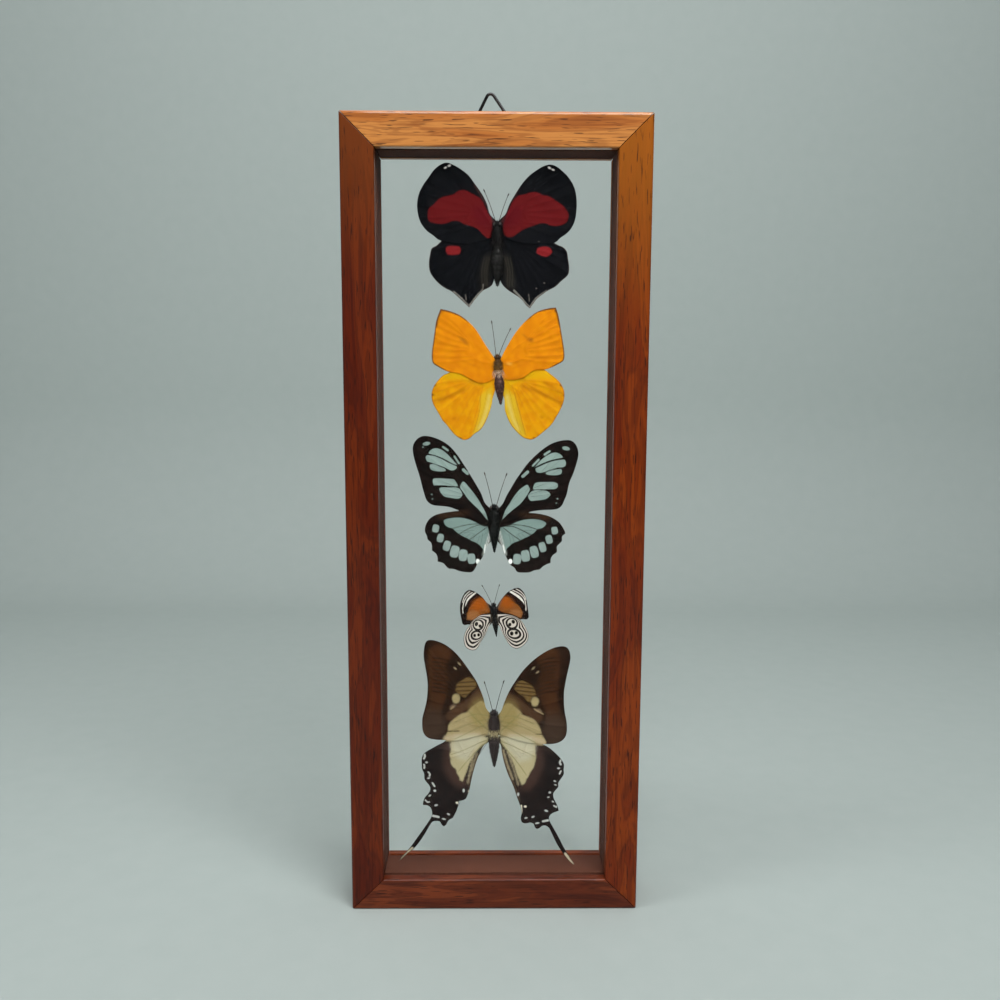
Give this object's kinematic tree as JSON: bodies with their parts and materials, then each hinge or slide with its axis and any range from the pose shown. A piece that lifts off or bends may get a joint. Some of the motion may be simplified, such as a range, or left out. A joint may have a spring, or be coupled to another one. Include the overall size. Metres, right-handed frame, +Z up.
{
  "type": "framed butterfly specimen",
  "caption": "Tall shallow wooden frame with clear front and back panes, showing mounted butterflies in a column, with a swinging wire loop to hang it by.",
  "frame": {"origin": "middle of the frame's flat foot, half way between its front and its back", "axes": "+X to the right seen from the front, +Y from the front to the back, +Z up"},
  "size_m": [0.158, 0.0391, 0.4439],
  "materials": {
    "mahogany": "varnished, glossy",
    "clear_glass": "polished, clear",
    "clear_peg": "clear cast rod",
    "black_wire": "black, satin",
    "steel": "zinc-plated",
    "dark_chitin": "dry, hairy",
    "redband_wing": "scaled, matt",
    "orange_wing": "scaled, matt",
    "window_wing": "scaled, matt, part clear",
    "ringed_wing": "scaled, matt",
    "swallowtail_wing": "scaled, matt"
  },
  "bodies": {
    "frame": {"top_rail": "mahogany", "bottom_rail": "mahogany", "left_rail": "mahogany", "right_rail": "mahogany", "front_pane": "clear_glass", "back_pane": "clear_glass", "redband_body": "dark_chitin", "orange_body": "dark_chitin", "window_body": "dark_chitin", "ringed_body": "dark_chitin", "swallowtail_body": "dark_chitin", "redband_forewing_left": "redband_wing", "redband_forewing_right": "redband_wing", "redband_hindwing_left": "redband_wing", "redband_hindwing_right": "redband_wing", "orange_forewing_left": "orange_wing", "orange_forewing_right": "orange_wing", "orange_hindwing_left": "orange_wing", "orange_hindwing_right": "orange_wing", "window_forewing_left": "window_wing", "window_forewing_right": "window_wing", "window_hindwing_left": "window_wing", "window_hindwing_right": "window_wing", "ringed_forewing_left": "ringed_wing", "ringed_forewing_right": "ringed_wing", "ringed_hindwing_left": "ringed_wing", "ringed_hindwing_right": "ringed_wing", "swallowtail_forewing_left": "swallowtail_wing", "swallowtail_forewing_right": "swallowtail_wing", "swallowtail_hindwing_left": "swallowtail_wing", "swallowtail_hindwing_right": "swallowtail_wing", "redband_antenna_left": "dark_chitin", "redband_antenna_right": "dark_chitin", "orange_antenna_left": "dark_chitin", "orange_antenna_right": "dark_chitin", "window_antenna_left": "dark_chitin", "window_antenna_right": "dark_chitin", "ringed_antenna_left": "dark_chitin", "ringed_antenna_right": "dark_chitin", "swallowtail_antenna_left": "dark_chitin", "swallowtail_antenna_right": "dark_chitin", "redband_peg": "clear_peg", "orange_peg": "clear_peg", "window_peg": "clear_peg", "ringed_peg": "clear_peg", "swallowtail_peg": "clear_peg", "hanger_strap": "steel", "hanger_screw": "steel"},
    "hanger_loop": {"hanging_loop": "black_wire"}
  },
  "joints": [
    {"name": "hanger_swing", "type": "hinge", "parent": "frame", "child": "hanger_loop", "pos_m": [-0.0011, 0.0197, 0.421], "axis": [-1, 0, 0], "range_deg": [-12, 180]}
  ]
}
